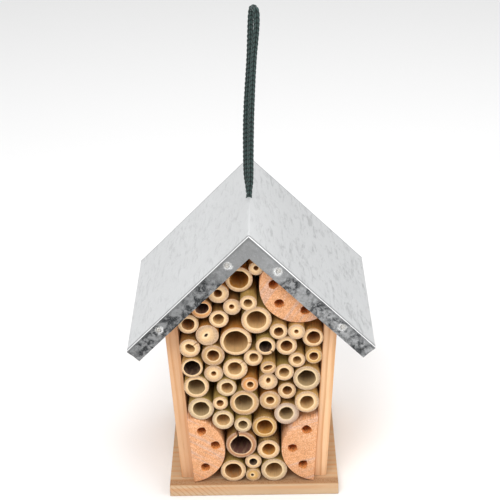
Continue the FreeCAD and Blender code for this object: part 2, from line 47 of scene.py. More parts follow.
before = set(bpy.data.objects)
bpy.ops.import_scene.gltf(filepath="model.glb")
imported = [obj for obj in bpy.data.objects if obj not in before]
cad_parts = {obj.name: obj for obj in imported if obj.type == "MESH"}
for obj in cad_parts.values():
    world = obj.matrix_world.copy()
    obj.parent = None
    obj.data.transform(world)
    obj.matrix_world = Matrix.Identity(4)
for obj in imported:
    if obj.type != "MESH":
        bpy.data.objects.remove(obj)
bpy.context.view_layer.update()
MM = 0.001
REEDS = sorted(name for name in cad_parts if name.startswith("reed_"))

# Route of the cord, in metres: up its front leg from the hole, over the fold, down its rear leg.
CORD_ROUTE = (
    (0.0, -0.0025, 0.1880), (0.0003, -0.0025, 0.1944), (0.0014, -0.0020, 0.2010),
    (0.0016, -0.0017, 0.2124), (0.0025, -0.0012, 0.2444), (0.0047, -0.0015, 0.2824),
    (0.0068, -0.0020, 0.3005), (0.0073, -0.0023, 0.3095), (0.0071, -0.0012, 0.3143),
    (0.0044, 0.0046, 0.3149), (0.0036, 0.0058, 0.3095), (0.0030, 0.0054, 0.3005),
    (0.0023, 0.0050, 0.2824), (-0.0009, 0.0049, 0.2444), (-0.0015, 0.0057, 0.2124),
    (-0.0014, 0.0061, 0.2010), (-0.0003, 0.0065, 0.1944), (0.0, 0.0065, 0.1880),
)

# Half logs: slant of the saw's passes in radians, and the nest holes, each with its distance from
# the flat side and its place along it in mm.
LOGS = {
    "lower_left_log": (-0.55, ((8.5, 14.5), (16.5, 3), (8.5, -13.5))),
    "lower_right_log": (0.30, ((7, 14.5), (15.5, 0), (8, -12.5))),
    "upper_log": (0.95, ((6.5, -14), (14.5, 1), (7.5, 13))),
}

# Colours of the reeds, by the plain words that REED_LOOKS uses.
SKINS = {
    "olive": (0.40, 0.275, 0.075),
    "tan": (0.52, 0.31, 0.10),
    "brown": (0.26, 0.115, 0.03),
    "orange": (0.50, 0.19, 0.035),
    "spotted": (0.22, 0.135, 0.05),
}
ENDS = {
    "cream": (0.74, 0.49, 0.26),
    "green": (0.64, 0.47, 0.27),
    "tan": (0.58, 0.35, 0.155),
    "yellow": (0.66, 0.39, 0.12),
    "orange": (0.70, 0.31, 0.095),
    "plum": (0.46, 0.20, 0.085),
    "ash": (0.60, 0.46, 0.35),
}
BORES = {
    "beige": (0.66, 0.43, 0.20),
    "grey": (0.48, 0.34, 0.175),
    "brown": (0.46, 0.22, 0.075),
    "amber": (0.56, 0.27, 0.06),
    # Dark is painted shade: a nearly black lining for the bores that lie in deep shade.
    "dark": (0.10, 0.056, 0.040),
    "plum": (0.17, 0.075, 0.058),
}

# Words for the skin, the sawn end and the bore of each reed, in the order of REEDS.
REED_LOOKS = (
    "olive cream brown", "olive green beige", "tan yellow dark", "tan cream dark", "spotted cream amber",
    "brown plum plum", "tan yellow amber", "olive green grey", "olive green beige", "tan ash grey",
    "olive green grey", "olive cream brown", "tan cream beige", "olive tan grey", "orange tan brown",
    "tan cream brown", "olive green beige", "olive cream grey", "orange orange brown", "tan cream brown",
    "tan green grey", "olive cream beige", "tan tan brown", "olive cream beige", "tan cream brown",
    "tan cream dark", "tan cream beige", "tan yellow brown", "tan cream beige", "tan tan brown",
    "brown cream beige", "tan cream brown", "olive cream dark", "tan cream brown", "tan cream brown",
    "tan cream brown", "orange cream beige", "orange cream dark", "tan cream brown", "brown cream beige",
    "olive cream beige", "olive cream beige", "brown cream brown", "brown orange plum",
    "orange cream brown", "orange cream amber", "tan cream brown",
)

# Bores that aren't round: widened, narrowed, and the bearing in degrees of the wide way.
OVAL_BORES = {
    "reed_13": (1.08, 0.94, 60),
    "reed_20": (1.16, 0.88, 80),
    "reed_23": (1.35, 0.72, 20),
    "reed_31": (1.12, 0.82, -40),
    "reed_38": (1.3, 0.8, 50),
    "reed_44": (1.1, 0.95, 20),
}

# Splits in a reed's wall: bearing in degrees from the right, anticlockwise, width and depth in mm.
SPLITS = {
    "reed_06": (102, 2.2, 6),
    "reed_24": (48, 0.7, 6),
    "reed_31": (38, 1.2, 5),
    "reed_33": (-42, 1.3, 4),
    "reed_37": (-6, 1.0, 2.5),
    "reed_46": (172, 0.4, 2),
}

# Rings of a reed's surface: metres from its growth node or its sawn end, and shares of its wall.
NODE_RINGS = (0.03, 0.003, 0.0012, 0.0004, 0, -0.0004, -0.0012, -0.003)
SKIN_RINGS = (0.012, 0.008, 0.005, 0.003, 0.0015, 0.0006, 0.00025)
WALL_RINGS = (0.82, 0.64, 0.46, 0.3, 0.16, 0.06)
BORE_RINGS = (0.0006, 0.0015, 0.003, 0.005, 0.008, 0.014, 0.025, 0.045)

# Outline of a drilled hole in a half log, in metres: depth and radius, from before the face on.
DRILL_OUTLINE = (
    (-0.002, 0.0), (-0.002, 0.003), (0.0, 0.003), (0.0003, 0.003), (0.0009, 0.003),
    (0.002, 0.003), (0.005, 0.003), (0.0595, 0.003), (0.06, 0.0015), (0.06, 0.0),
)

# Flange nails: mm from the ridge along the slope, and the side they are on (0 for both).
FLANGE_NAILS = ((23.5, -1), (29.5, 1), (86, 0))

# The knit's fineness: steps along one stitch, and faces across one column of stitches.
STITCH_STEPS = 12
WALE_FACES = 14

SLANT = math.sqrt(0.5)  # sine and cosine of the roof's pitch

# Lamps of the stage: name, place, aim, size and power.
LAMPS = (
    ("key", (-0.25, -0.80, 1.15), (0, 0, 0.12), 0.7, 9.3),
    ("fill", (0.8, -0.6, 0.7), (0, 0, 0.12), 0.8, 3.5),
    ("top", (0.1, 0.25, 1.4), (0, 0, 0.15), 0.9, 5.5),
)


# ---- settings
class CordSettings(bpy.types.PropertyGroup):
    diameter: bpy.props.FloatProperty(
        name="Diameter", description="Across the cord", default=0.004, unit="LENGTH"
    )
    stitch: bpy.props.FloatProperty(
        name="Stitch", description="Length of one knitted stitch", default=0.0031, unit="LENGTH"
    )
    wales: bpy.props.IntProperty(name="Wales", description="Columns of stitches round the cord", default=4)
    colour: bpy.props.FloatVectorProperty(
        name="Colour", description="Yarn on the crown of a stitch", default=(0.026, 0.056, 0.051), subtype="COLOR"
    )
    # Shade is painted shade for the yarn between the stitches.
    shade: bpy.props.FloatVectorProperty(
        name="Shade", description="Yarn between the stitches", default=(0.0025, 0.007, 0.0065), subtype="COLOR"
    )


class SheetSettings(bpy.types.PropertyGroup):
    thickness: bpy.props.FloatProperty(
        name="Thickness", description="Of the sheet", default=0.0005, unit="LENGTH"
    )
    drop: bpy.props.FloatProperty(
        name="Flange", description="Height of the flange, square to the slope", default=0.0105, unit="LENGTH"
    )
    bend: bpy.props.FloatProperty(
        name="Bend", description="Width of the rounded fold", default=0.0009, unit="LENGTH"
    )
    dent: bpy.props.FloatProperty(
        name="Dent", description="Depth that a nail draws the flange in", default=0.0006, unit="LENGTH"
    )
    bright: bpy.props.FloatVectorProperty(
        name="Bright", description="Clean zinc", default=(0.74, 0.75, 0.755), subtype="COLOR"
    )
    dull: bpy.props.FloatVectorProperty(
        name="Dull", description="Weathered zinc", default=(0.10, 0.105, 0.11), subtype="COLOR"
    )


class TimberSettings(bpy.types.PropertyGroup):
    rounding: bpy.props.FloatProperty(
        name="Rounding", description="Width of the eased edges", default=0.0004, unit="LENGTH"
    )
    early: bpy.props.FloatVectorProperty(
        name="Earlywood", description="Light part of a ring", default=(0.80, 0.50, 0.285), subtype="COLOR"
    )
    late: bpy.props.FloatVectorProperty(
        name="Latewood", description="Dark part of a ring", default=(0.60, 0.27, 0.10), subtype="COLOR"
    )
    ring: bpy.props.FloatProperty(
        name="Ring", description="Width of a growth ring", default=0.0032, unit="LENGTH"
    )
    log_radius: bpy.props.FloatProperty(
        name="Log radius", description="Of a log before it is split", default=0.025, unit="LENGTH"
    )
    log_thickness: bpy.props.FloatProperty(
        name="Log thickness", description="From the bark to the flat side", default=0.0227, unit="LENGTH"
    )
    log: bpy.props.FloatVectorProperty(
        name="Log", description="End grain of the half logs", default=(0.80, 0.38, 0.172), subtype="COLOR"
    )


class ReedSettings(bpy.types.PropertyGroup):
    sides: bpy.props.IntProperty(name="Sides", description="Faces round a reed", default=48)
    node_swell: bpy.props.FloatProperty(
        name="Node swell", description="Height of the ridge at a growth node", default=0.0003, unit="LENGTH"
    )


class StageSettings(bpy.types.PropertyGroup):
    lens: bpy.props.FloatProperty(name="Lens", description="Focal length in mm", default=105.44)
    place: bpy.props.FloatVectorProperty(
        name="Camera", description="Where the camera stands", default=(0.010, -0.8736, 0.5673), subtype="XYZ"
    )
    pitch: bpy.props.FloatProperty(
        name="Pitch", description="Downwards", default=math.radians(25.486), subtype="ANGLE"
    )
    yaw: bpy.props.FloatProperty(
        name="Yaw", description="To the left", default=math.radians(-0.659), subtype="ANGLE"
    )
    roll: bpy.props.FloatProperty(
        name="Roll", description="About the line of sight", default=math.radians(-1.243), subtype="ANGLE"
    )
    floor: bpy.props.FloatVectorProperty(
        name="Floor", description="Colour of the floor", default=(0.92, 0.92, 0.92), subtype="COLOR"
    )
    daylight: bpy.props.FloatProperty(name="Daylight", description="Light from all round", default=0.66)


GROUPS = {
    "hotel_cord": CordSettings,
    "hotel_sheet": SheetSettings,
    "hotel_timber": TimberSettings,
    "hotel_reeds": ReedSettings,
    "hotel_stage": StageSettings,
}


# ---- finishes
class Value:
    """A socket that Python's operators can be used on; each one adds a Math node."""

    def __init__(self, finish, socket):
        self.finish = finish
        self.socket = socket

    def maths(self, operation, *others):
        return self.finish.node("ShaderNodeMath", {"operation": operation}, dict(enumerate((self, *others))))

    def __add__(self, other):
        return self.maths("ADD", other)

    __radd__ = __add__

    def __mul__(self, other):
        return self.maths("MULTIPLY", other)

    __rmul__ = __mul__

    def __sub__(self, other):
        return self.maths("SUBTRACT", other)

    def __rsub__(self, other):
        return (self * -1) + other

    def __pow__(self, other):
        return self.maths("POWER", other)

    def clamped(self):
        held = self.maths("ADD", 0)
        held.socket.node.use_clamp = True
        return held

    def between(self, low, high):
        """0 below low, 1 above high, smooth between."""
        steps = {"Value": self, "From Min": low, "From Max": high}
        return self.finish.node("ShaderNodeMapRange", {"interpolation_type": "SMOOTHSTEP"}, steps)


class Finish:
    """A material under construction."""

    def __init__(self, name, constants=None):
        self.material = bpy.data.materials.new(name)
        self.material.use_nodes = True
        self.tree = self.material.node_tree
        self.shader = self.tree.nodes["Principled BSDF"]
        for socket, value in (constants or {}).items():
            self.shader.inputs[socket].default_value = value

    def node(self, kind, settings=None, inputs=None, output=0):
        made = self.tree.nodes.new(kind)
        for key, value in (settings or {}).items():
            setattr(made, key, value)
        for key, value in (inputs or {}).items():
            socket = made.inputs[key]
            if isinstance(value, Value):
                self.tree.links.new(value.socket, socket)
            elif socket.type == "RGBA" and len(value) == 3:
                socket.default_value = (*value, 1)
            else:
                socket.default_value = value
        return Value(self, made.outputs[output])

    def place(self, turn=(0, 0, 0), shift=(0, 0, 0)):
        """The object's own coordinates, moved by the shift in metres, then turned, in mm."""
        where = self.node("ShaderNodeTexCoord", output="Object")
        moved = self.node("ShaderNodeVectorMath", {"operation": "SUBTRACT"}, {0: where, 1: shift})
        return self.node("ShaderNodeMapping", None, {"Vector": moved, "Rotation": turn, "Scale": (1 / MM,) * 3})

    def noise(self, vector, scale, detail=2, roughness=0.5, distortion=0.0):
        shape = {"Scale": scale, "Detail": detail, "Roughness": roughness, "Distortion": distortion}
        return self.node("ShaderNodeTexNoise", None, {"Vector": vector, **shape})

    def grain(self, vector, by, scale, detail=2, roughness=0.5):
        """Noise that is drawn out along each axis whose factor is small."""
        drawn = self.node("ShaderNodeVectorMath", {"operation": "MULTIPLY"}, {0: vector, 1: by})
        return self.noise(drawn, scale, detail, roughness)

    def waves(self, vector, scale, distortion, detail, detail_scale):
        """Slanting bands."""
        shape = {"Scale": scale, "Distortion": distortion, "Detail": detail, "Detail Scale": detail_scale}
        return self.node("ShaderNodeTexWave", {"bands_direction": "DIAGONAL"}, {"Vector": vector, **shape})

    def mix(self, amount, first, second):
        return self.node("ShaderNodeMix", {"data_type": "RGBA"}, {0: amount, 6: first, 7: second}, output=2)

    def attribute(self, name, output="Fac"):
        return self.node("ShaderNodeAttribute", {"attribute_name": name}, output=output)

    def parts(self, vector):
        split = self.node("ShaderNodeSeparateXYZ", None, {0: vector})
        return [Value(self, out) for out in split.socket.node.outputs]

    def bump(self, height, strength, distance):
        return self.node("ShaderNodeBump", None, {"Height": height, "Strength": strength, "Distance": distance})

    def done(self, colour, roughness=None, normal=None, **others):
        links = {"Base Color": colour, "Roughness": roughness, "Normal": normal, **others}
        for socket, value in links.items():
            if isinstance(value, Value):
                self.tree.links.new(value.socket, self.shader.inputs[socket])
            elif value is not None:
                self.shader.inputs[socket].default_value = value
        return self.material


def darker(colour, share):
    return tuple(channel * share for channel in colour)


def pine(name, turn, pith, early, late, ring, saw=0.0):
    """Pine with its grain along the turned Z axis and its rings round a line at pith; saw is how
    strongly the saw's marks show on the front edge of the base, and where it is not zero the top of the base gets
    painted shade, deepest and speckled on the strip in front of the house."""
    finish = Finish(name, {"Specular IOR Level": 0.25})
    vector = finish.place(turn, pith)
    x, y, z = finish.parts(vector)
    slow = finish.grain(vector, (1, 1, 0.12), 0.045)
    wobble = finish.grain(vector, (1, 1, 0.05), 0.35, 3)
    radius = (x * x + y * y) ** 0.5 + slow * 9 + wobble * 0.9
    phase = (radius * (1 / ring)).maths("FRACT")
    latewood = phase.between(0.35, 0.88) * (1 - phase.between(0.90, 1.0))
    strength = finish.grain(vector, (1, 1, 0.1), 0.11).between(0.32, 0.68)
    fibre = finish.grain(vector, (1, 1, 0.02), 3.2, 4, 0.62)
    speck = finish.grain(vector, (1, 1, 0.06), 1.5, 3, 0.7)
    patch = finish.grain(vector, (1, 1, 0.3), 0.06, 3)
    colour = finish.mix(latewood * (0.22 + strength * 0.55), early, late)
    colour = finish.mix(patch.between(0.3, 0.75) * 0.35, colour, darker(early, 0.84))
    colour = finish.mix(fibre.between(0.50, 0.78) * 0.32, colour, late)
    colour = finish.mix(speck.between(0.60, 0.74) * 0.35, colour, darker(late, 0.55))
    height = latewood * 0.4 + fibre * 0.8
    if saw:
        own = finish.place()
        east, north, rise = finish.parts(own)
        front, top = -63, 8
        lines = finish.waves(own, 0.16, 1.5, 2, 0.4)
        on_front = 1 - north.between(front + 0.1, front + 0.5)
        band = lines.between(0.70, 0.95) * on_front * (1 - east.between(-34, -6))
        on_top = rise.between(top - 0.6, top - 0.1)
        shaded_strip = (1 - north.between(front + 6, front + 9)) * north.between(front + 0.4, front + 1.6) * on_top
        strip_speckle = finish.noise(own, 0.9, 4, 0.75)
        colour = finish.mix(band * saw, colour, darker(late, 0.7))
        # Painted shade on the top of the base, and deeper, speckled painted shade on the strip in front of the
        # house.
        colour = finish.mix(on_top * 0.22, colour, (0.42, 0.24, 0.10))
        colour = finish.mix(shaded_strip * (0.55 + strip_speckle.between(0.48, 0.60) * 0.35), colour, darker(late, 0.50))
        height = height - band * 0.5
    roughness = 0.58 + fibre * 0.18
    return finish.done(colour, roughness, finish.bump(height, 0.35, 0.00025))


def log_wood(name, face, turn):
    """End grain of a half log: fine specks, and pale bands where the saw blade passed."""
    finish = Finish(name, {"Specular IOR Level": 0.2})
    vector = finish.place()
    grain = finish.grain(vector, (1, 0.06, 1), 1.5, 4, 0.78)
    coarse = finish.grain(vector, (1, 0.06, 1), 0.55, 3, 0.7)
    patch = finish.grain(vector, (1, 0.2, 1), 0.10, 3)
    turned = finish.place((0, turn, 0))
    x, y, z = finish.parts(turned)
    waver = finish.noise(turned, 0.12)
    blade = finish.node("ShaderNodeCombineXYZ", None, {0: x * 0.04, 1: y * 0.02, 2: z + waver * 2})
    saw = finish.noise(blade, 0.42, 3)
    teeth = finish.node("ShaderNodeCombineXYZ", None, {0: x * 0.05, 1: y * 0.02, 2: z + waver})
    fine = finish.noise(teeth, 1.9)
    colour = finish.mix(patch.between(0.35, 0.7) * 0.4, face, darker(face, 0.80))
    colour = finish.mix(saw.between(0.50, 0.66) * 0.75, colour, (0.66, 0.41, 0.31))
    colour = finish.mix(fine.between(0.52, 0.70) * 0.30, colour, (0.90, 0.60, 0.40))
    colour = finish.mix(grain.between(0.50, 0.60) * 0.55, colour, darker(face, 0.48))
    colour = finish.mix(coarse.between(0.56, 0.68) * 0.35, colour, (0.36, 0.19, 0.13))
    colour = finish.mix((1 - grain.between(0.38, 0.48)) * 0.50, colour, (0.92, 0.68, 0.49))
    height = fine * 0.6 - grain.between(0.50, 0.62) * 0.8
    return finish.done(colour, 0.72 + grain * 0.15, finish.bump(height, 0.5, 0.0003))


def hole_wood(name, face):
    """The walls of a drilled hole, scorched a deeper orange."""
    finish = Finish(name, {"Specular IOR Level": 0.15})
    vector = finish.place()
    grain = finish.grain(vector, (1, 0.4, 1), 1.6, 3, 0.65)
    rings = finish.grain(vector, (0.05, 2.5, 0.05), 1.0)
    colour = finish.mix(grain.between(0.4, 0.65), (0.88, 0.37, 0.115), (0.4125, 0.1595, 0.04675))
    colour = finish.mix(rings.between(0.5, 0.7) * 0.4, colour, face)
    return finish.done(colour, 0.8, finish.bump(grain, 0.6, 0.0003))


def galvanised(name, bright, dull, ridge, nails):
    """Zinc: pale and faintly smudged on the slopes, with painted shade on the right slope and a painted dark
    reflection and a painted highlight along the fold; mottled spangle on the flanges, whose zinc is painted
    darker as painted shade, with painted shade just below the fold and a painted highlight round the nails.
    """
    finish = Finish(name, {"Specular IOR Level": 0.5})
    vector = finish.place()
    east, north, rise = finish.parts(vector)
    sideways = east.maths("ABSOLUTE")
    depth = (ridge - sideways - rise) * SLANT
    flange = depth.between(0.10, 0.30)
    along = (sideways + ridge - rise) * SLANT
    wear = along.between(20, 44)
    shake = finish.noise(vector, 0.5)
    shaken = finish.node("ShaderNodeVectorMath", {"operation": "ADD"}, {0: vector, 1: shake})
    cells = finish.node(
        "ShaderNodeTexVoronoi", {"feature": "F1", "distance": "CHEBYCHEV"},
        {"Vector": shaken, "Scale": 0.62, "Randomness": 0.9}, output="Color",
    )
    tone = finish.node("ShaderNodeRGBToBW", None, {0: cells})
    cloud = finish.noise(vector, 0.085, 4, 0.62, 0.6)
    patch = finish.noise(vector, 0.30, 4, 0.6, 0.4)
    swept = {"Vector": vector, "Rotation": (0, 0, 0.5), "Scale": (1, 0.22, 1)}
    wiped = finish.node("ShaderNodeMapping", None, swept)
    streak = finish.noise(wiped, 0.30, 5, 0.68, 0.8)
    fine = finish.grain(vector, (1.0, 0.5, 1.0), 1.6, 3, 0.6)
    edge = north.maths("ABSOLUTE")
    right = east.between(-5, 30)
    smudge = (streak.between(0.46, 0.66) * cloud.between(0.30, 0.60)) * (0.26 + right * 0.22)
    gather = finish.noise(vector, 0.085)
    mottle = (tone.between(0.15, 0.85) * 0.25 + patch.between(0.38, 0.66) * 0.85) * (
        0.14 + wear * (0.35 + gather.between(0.40, 0.60) * 0.75) * (1.30 - right * 0.48)
    )
    # Painted shade: the right slope is darker than the left.
    slope = finish.mix(right * 0.5, bright, darker(bright, 0.78))
    slope = finish.mix(smudge + fine.between(0.5, 0.8) * 0.08, slope, darker(bright, 0.40))
    # Painted dark reflection just behind the fold, then a painted white highlight along the fold.
    fold_dark_reflection = edge.between(62.7, 63.5) * (1 - edge.between(64.6, 65.0))
    slope = finish.mix(fold_dark_reflection * 0.62, slope, darker(bright, 0.30))
    slope = finish.mix(edge.between(64.7, 65.0), slope, (0.98, 0.98, 0.98))
    # Painted shade: the flanges' zinc is a darker copy of the slopes' zinc, a little lighter on the right.
    flange_zinc_in_shade = finish.mix(right, darker(bright, 0.38), darker(bright, 0.50))
    front = finish.mix(mottle.clamped(), flange_zinc_in_shade, darker(dull, 0.50))
    front = finish.mix(fine.between(0.55, 0.72) * 0.3, front, darker(bright, 0.80))
    # Painted shade on the flange just below the fold.
    shade_below_fold = depth.between(0.3, 0.6) * (1 - depth.between(0.9, 2.0))
    front = finish.mix(shade_below_fold * 0.45, front, darker(bright, 0.22))
    for nail_along, only in nails:
        off_along, off_depth = along - nail_along, depth - 4.8
        other_side = (east * -only).clamped()
        away = (off_along * off_along + off_depth * off_depth) ** 0.5 + patch * 2.6 + other_side * 99
        # Painted highlight: a bright ring on the dent round each nail.
        ring = away.between(2.2, 3.0) * (1 - away.between(3.2, 4.9)) * (0.35 + fine.between(0.40, 0.60) * 0.6)
        front = finish.mix(ring, front, (0.90, 0.90, 0.89))
    colour = finish.mix(flange, slope, front)
    roughness = 0.46 + mottle * 0.14 + tone * 0.06
    height = cloud * 2.0 + patch * 0.3 + tone * 0.05
    return finish.done(colour, roughness, finish.bump(height, 0.18, 0.0008), Metallic=0.55 + flange * 0.35)


def steel(name):
    """Wire of the nails, smudged."""
    finish = Finish(name, {"Metallic": 1.0})
    vector = finish.place()
    mark = finish.noise(vector, 1.8, 4, 0.6)
    colour = finish.mix(mark.between(0.4, 0.7), (0.62, 0.61, 0.58), (0.20, 0.18, 0.16))
    return finish.done(colour, 0.32 + mark * 0.25, finish.bump(mark, 0.3, 0.0002))


def bamboo_skin():
    """Waxy skin of a reed, with fine lengthwise lines, blotches and the odd dark spot."""
    finish = Finish("bamboo_skin", {"Specular IOR Level": 0.45, "Coat Roughness": 0.35})
    tint = finish.attribute("skin_tone", "Color")
    spots = finish.attribute("spots")
    vector = finish.place()
    lines = finish.grain(vector, (1, 0.025, 1), 2.6, 4, 0.62)
    blotch = finish.grain(vector, (1, 0.35, 1), 0.22, 3, 0.6)
    spot = finish.grain(vector, (1, 0.6, 1), 1.1, 3, 0.6)
    colour = finish.mix(blotch.between(0.35, 0.7) * 0.45, tint, (0.58, 0.38, 0.13))
    colour = finish.mix(lines.between(0.42, 0.7) * 0.40, colour, (0.18, 0.09, 0.025))
    colour = finish.mix(spot.between(0.55, 0.62) * spots, colour, (0.05, 0.03, 0.015))
    return finish.done(colour, 0.42 + lines * 0.2, finish.bump(lines * 0.7 + spot * 0.2, 0.3, 0.0002))


def bamboo_end():
    """Sawn end of a reed: pale round the bore, speckled with fibre bundles, greyer at the rim."""
    finish = Finish("bamboo_end", {"Specular IOR Level": 0.2})
    tint = finish.attribute("end_tone", "Color")
    radial = finish.attribute("radial")
    vector = finish.place()
    dots = finish.grain(vector, (1, 0.1, 1), 1.3, 4, 0.75)
    soft = finish.noise(vector, 0.35, 3)
    where = radial + (soft - 0.5) * 0.25
    pale = 1 - where.between(0.16, 0.40)
    rim = where.between(0.36, 0.92)
    colour = finish.mix(pale * 0.62, tint, (0.90, 0.70, 0.43))
    colour = finish.mix(rim * 0.70, colour, (0.40, 0.275, 0.20))
    colour = finish.mix(dots.between(0.50, 0.62) * (0.14 + rim * 0.42), colour, (0.26, 0.155, 0.09))
    colour = finish.mix((1 - dots.between(0.36, 0.47)) * rim * 0.5, colour, (0.80, 0.62, 0.42))
    return finish.done(colour, 0.68 + dots * 0.15, finish.bump(dots * -1.0 + soft * 0.3, 0.4, 0.0002))


def bamboo_bore():
    """Inside of a reed: papery lining with lengthwise lines, and painted shade that darkens it further in."""
    finish = Finish("bamboo_bore", {"Specular IOR Level": 0.15})
    tint = finish.attribute("bore_tone", "Color")
    deep = finish.attribute("deep")
    vector = finish.place()
    lines = finish.grain(vector, (1, 0.04, 1), 2.0, 4, 0.6)
    patch = finish.grain(vector, (1, 0.3, 1), 0.5, 3)
    colour = finish.mix(patch.between(0.4, 0.7) * 0.3, tint, (0.528, 0.368, 0.20))
    colour = finish.mix(lines.between(0.48, 0.75) * 0.22, colour, (0.16, 0.08, 0.03))
    # Painted shade, deeper further into the bore.
    colour = finish.mix(deep.between(0.0, 1.0) * 0.7, colour, (0.10, 0.045, 0.015))
    return finish.done(colour, 0.75, finish.bump(lines, 0.15, 0.0001))


def yarn(name, crown, shade):
    """Knitted polyester: two slanting threads to each stitch, with painted shade between them and a painted
    highlight on the threads at the crowns.
    """
    finish = Finish(name, {"Specular IOR Level": 0.25, "Sheen Weight": 0.35, "Sheen Roughness": 0.5})
    height = finish.attribute("stitch")
    around, along, _ = finish.parts(finish.node("ShaderNodeUVMap", {"uv_map": "yarn"}))
    twist = finish.node("ShaderNodeCombineXYZ", None, {0: around * 60, 1: along * 6000, 2: 0})
    strands = finish.noise(twist, 1.0, 3, 0.7)
    colour = finish.mix(height.between(0.30, 0.95), shade, crown)
    lit = strands.between(0.45, 0.75) * height.between(0.3, 0.9) * 0.6
    colour = finish.mix(lit, colour, (0.07, 0.15, 0.135))
    colour = finish.mix((1 - strands.between(0.25, 0.45)) * 0.45, colour, shade)
    return finish.done(colour, 0.85, finish.bump(strands + height * 0.6, 0.6, 0.0003))


def plain_yarn(name, crown, shade):
    """Yarn of the hidden knot, in slanting turns, with painted shade between the turns."""
    finish = Finish(name, {"Specular IOR Level": 0.25})
    loops = finish.waves(finish.place(), 0.35, 2.5, 3, 1.0)
    colour = finish.mix(loops, shade, crown)
    return finish.done(colour, 0.9, finish.bump(loops, 0.8, 0.0005))


# ---- shaping
def piece(name, bm, *materials, smooth=30):
    """Turns a finished bmesh into an object at the origin, with its sharp edges kept."""
    mesh = bpy.data.meshes.new(name)
    bm.to_mesh(mesh)
    bm.free()
    for material in materials:
        mesh.materials.append(material)
    mesh.shade_smooth()
    if smooth < 180:
        mesh.set_sharp_from_angle(angle=math.radians(smooth))
    made = bpy.data.objects.new(name, mesh)
    bpy.context.scene.collection.objects.link(made)
    return made


def paint(target, material):
    """Gives a carried-over node its finish."""
    target.data.materials.clear()
    target.data.materials.append(material)


def eased(bm, edges, width, segments, clamp=False):
    """Rounds off the edges."""
    bmesh.ops.bevel(
        bm, geom=edges, offset=width, offset_type="OFFSET", segments=segments, profile=0.5,
        affect="EDGES", material=-1, clamp_overlap=clamp,
    )


def outwards(bm):
    """Points the faces outwards."""
    bmesh.ops.recalc_face_normals(bm, faces=bm.faces[:])


def new_vertices(made):
    """The vertices among what an extrusion has made."""
    return [part for part in made["geom"] if isinstance(part, bmesh.types.BMVert)]


def fixed_noise(seed, row):
    """A number between -1 and 1 that is the same in each run."""
    return noise.noise(Vector((seed, row, 0)))


def noise_round(angle, fineness, seed):
    """Noise along a circle, whose ends meet."""
    return noise.noise(Vector((math.cos(angle) * fineness, math.sin(angle) * fineness, seed)))


def eased_copy(node, rounding):
    """A copy of a board with its long sharp edges eased; its nail holes stay as they are."""
    bm = bmesh.new()
    bm.from_mesh(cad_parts[node].data)
    bmesh.ops.remove_doubles(bm, verts=bm.verts[:], dist=1e-6)
    bmesh.ops.dissolve_limit(bm, angle_limit=math.radians(0.5), verts=bm.verts[:], edges=bm.edges[:])
    long_edges = [
        edge for edge in bm.edges
        if edge.calc_length() > 4 * MM and edge.is_manifold and edge.calc_face_angle() > math.radians(25)
    ]
    eased(bm, long_edges, rounding, 3, clamp=True)
    return bm


def drill(target, cutters):
    """Cuts the cutters out of the target for good, and removes them."""
    for cutter in cutters:
        modifier = target.modifiers.new("drill", "BOOLEAN")
        modifier.operation = "DIFFERENCE"
        modifier.solver = "MANIFOLD"
        modifier.object = cutter
    graph = bpy.context.evaluated_depsgraph_get()
    mesh = bpy.data.meshes.new_from_object(target.evaluated_get(graph))
    target.modifiers.clear()
    old, target.data = target.data, mesh
    bpy.data.meshes.remove(old)
    for cutter in cutters:
        mesh = cutter.data
        bpy.data.objects.remove(cutter)
        bpy.data.meshes.remove(mesh)


def rolled(around, along, place, layers=(), values=None):
    """A grid rolled into a tube: place gives each point from its share of the way round and its
    step, and leaves what the layers hold in values."""
    bm = bmesh.new()
    bmesh.ops.create_grid(bm, x_segments=around, y_segments=along, size=1, calc_uvs=True)
    step_of = bm.verts.layers.int.new("step")
    held = [bm.verts.layers.float.new(name) for name in layers]
    for vertex in bm.verts:
        share = round((vertex.co.x + 1) / 2 * around) / around
        step = round((vertex.co.y + 1) / 2 * along)
        vertex[step_of] = step
        vertex.co = place(share, step)
        for layer in held:
            vertex[layer] = values[round(share * 1000), step]
    return bm, step_of


def closed(bm):
    """Merges the seam and the poles of a rolled tube, and points its faces outwards."""
    bmesh.ops.remove_doubles(bm, verts=bm.verts[:], dist=1e-7)
    outwards(bm)


# ---- cord
def centre_line(points, resolution=24):
    """Points along the smooth curve that has the given points as its controls."""
    curve = bpy.data.curves.new("route", "CURVE")
    curve.dimensions = "3D"
    spline = curve.splines.new("NURBS")
    spline.points.add(len(points) - 1)
    for point, place in zip(spline.points, points):
        point.co = (*place, 1)
    spline.order_u = 3
    spline.use_endpoint_u = True
    spline.resolution_u = resolution
    made = bpy.data.objects.new("route", curve)
    bpy.context.scene.collection.objects.link(made)
    bpy.context.view_layer.update()
    mesh = bpy.data.meshes.new_from_object(made)
    line = [vertex.co.copy() for vertex in mesh.vertices]
    bpy.data.objects.remove(made)
    bpy.data.meshes.remove(mesh)
    bpy.data.curves.remove(curve)
    return line


def evenly(line, step):
    """The line's points again, at equal distances."""
    runs = [0.0]
    for a, b in zip(line, line[1:]):
        runs.append(runs[-1] + (b - a).length)
    count = round(runs[-1] / step)
    placed, k = [], 0
    for i in range(count + 1):
        want = runs[-1] * i / count
        while k < len(runs) - 2 and runs[k + 1] < want:
            k += 1
        share = (want - runs[k]) / max(runs[k + 1] - runs[k], 1e-12)
        placed.append(line[k].lerp(line[k + 1], share))
    return placed, runs[-1]


def stitch_height(around, along):
    """Height, 0 to 1, of a knitted surface: around in wales, along in stitches."""
    across = around % 1 - 0.5
    slant = along - abs(across) * 1.3
    thread = abs(math.sin(math.pi * slant)) ** 0.55
    valley = 1 - (2 * abs(across)) ** 5
    spine = 1 - 0.6 * math.exp(-(across / 0.07) ** 2)
    return thread * valley * spine


